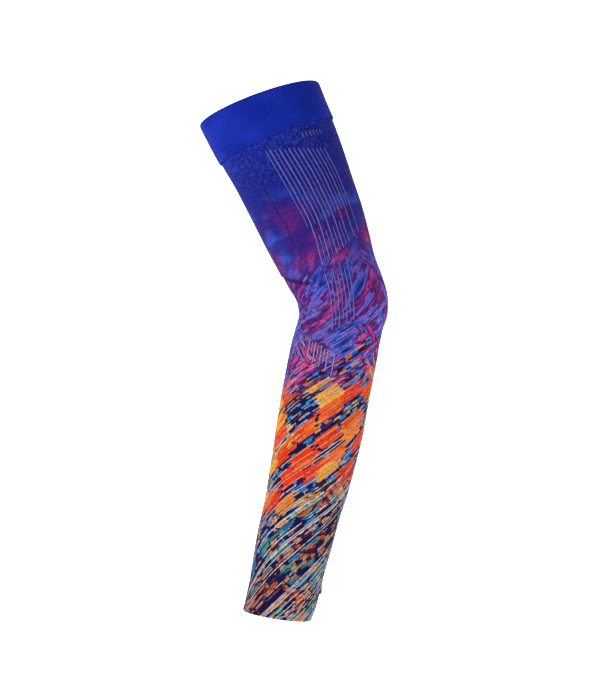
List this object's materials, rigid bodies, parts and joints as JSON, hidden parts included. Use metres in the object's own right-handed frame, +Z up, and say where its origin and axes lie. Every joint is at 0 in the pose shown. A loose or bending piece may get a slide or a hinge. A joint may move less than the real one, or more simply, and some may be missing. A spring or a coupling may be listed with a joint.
{
  "type": "arm compression sleeve",
  "caption": "Knitted compression sleeve for the arm in worn, slightly bent form, with a turned welt at the upper arm and a hemmed cuff at the wrist, open at both ends.",
  "frame": {"origin": "centre of the upper opening, in the plane of the welt's rim", "axes": "+Z up as worn with the arm hanging, +X towards the point of the elbow, -Y towards the viewer of the picture, +Y through the thin direction"},
  "size_m": [0.1503, 0.0893, 0.4302],
  "materials": {
    "welt_knit": "fine blue knit, matte",
    "printed_knit": "fine knit with a space-dyed print, blue to violet to orange, matte with a slight sheen",
    "cuff_knit": "fine printed knit, teal, mustard and navy streaks, matte"
  },
  "bodies": {
    "root": {"upper_welt": "welt_knit", "upper_arm_tube": "printed_knit", "elbow_tube": "printed_knit", "forearm_tube": "printed_knit", "wrist_tube": "printed_knit", "wrist_cuff": "cuff_knit"}
  },
  "joints": []
}
